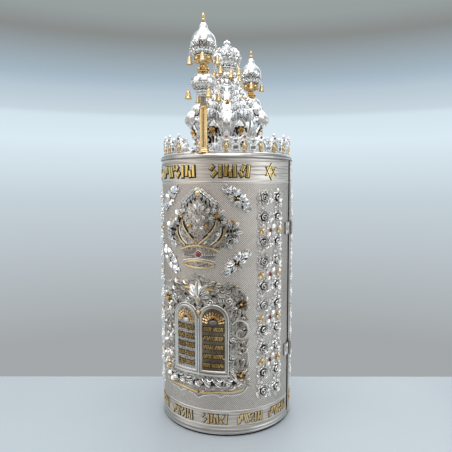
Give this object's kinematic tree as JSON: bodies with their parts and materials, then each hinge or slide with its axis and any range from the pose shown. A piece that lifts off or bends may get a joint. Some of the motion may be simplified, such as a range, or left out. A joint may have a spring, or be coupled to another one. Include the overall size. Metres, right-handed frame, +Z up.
{
  "type": "torah scroll case",
  "caption": "Cylindrical silver-clad case that stands upright and opens on side hinges, with applied reliefs, a pierced gallery, a split crown and finials hung with bells.",
  "frame": {"origin": "middle of the underside, on the case's axis", "axes": "+Z up along the case; -Y out through the middle of the front half; +X through the hinges"},
  "size_m": [0.2946, 0.3197, 0.8181],
  "materials": {
    "silver": "bright hammered and chased silver, oxidised in the recesses",
    "gilt_silver": "polished warm gilding",
    "case_wood": "dark stained, satin",
    "red_stone": "polished dark red cabochon"
  },
  "bodies": {
    "front_half": {"crown_orb": "silver", "front_base_rim": "silver", "front_case_shell": "case_wood", "front_crown_half": "silver", "front_crown_relief": "silver", "front_finial_bulb": "silver", "front_finial_column": "gilt_silver", "front_finial_cup": "gilt_silver", "front_finial_globe": "silver", "front_finial_tip": "gilt_silver", "front_flower_band_left": "silver", "front_flower_band_right": "silver", "front_gallery_left": "silver", "front_gallery_right": "silver", "front_lower_bell_1": "gilt_silver", "front_lower_bell_2": "gilt_silver", "front_lower_bell_3": "gilt_silver", "front_lower_bell_4": "gilt_silver", "front_silver_sheet": "silver", "front_tablets_relief": "silver", "front_top_plate": "silver", "front_upper_bell_1": "gilt_silver", "front_upper_bell_2": "gilt_silver", "front_upper_bell_3": "gilt_silver", "front_upper_bell_4": "gilt_silver", "lower_clasp_stud": "silver", "lower_hinge_front_leaf": "silver", "lower_hinge_pin": "silver", "upper_clasp_stud": "silver", "upper_hinge_front_leaf": "silver", "upper_hinge_pin": "silver"},
    "back_half": {"back_base_rim": "silver", "back_case_shell": "case_wood", "back_crown_half": "silver", "back_crown_relief": "silver", "back_finial_bulb": "silver", "back_finial_column": "gilt_silver", "back_finial_cup": "gilt_silver", "back_finial_globe": "silver", "back_finial_tip": "gilt_silver", "back_flower_band_left": "silver", "back_flower_band_right": "silver", "back_gallery_left": "silver", "back_gallery_right": "silver", "back_lower_bell_1": "gilt_silver", "back_lower_bell_2": "gilt_silver", "back_lower_bell_3": "gilt_silver", "back_lower_bell_4": "gilt_silver", "back_silver_sheet": "silver", "back_tablets_relief": "silver", "back_top_plate": "silver", "back_upper_bell_1": "gilt_silver", "back_upper_bell_2": "gilt_silver", "back_upper_bell_3": "gilt_silver", "back_upper_bell_4": "gilt_silver", "lower_clasp_tongue": "silver", "lower_hinge_back_leaf": "silver", "upper_clasp_tongue": "silver", "upper_hinge_back_leaf": "silver"}
  },
  "joints": [
    {"name": "case_hinge", "type": "hinge", "parent": "front_half", "child": "back_half", "pos_m": [0.1447, 0, 0.28], "axis": [0, 0, -1], "range_deg": [0, 170]}
  ]
}
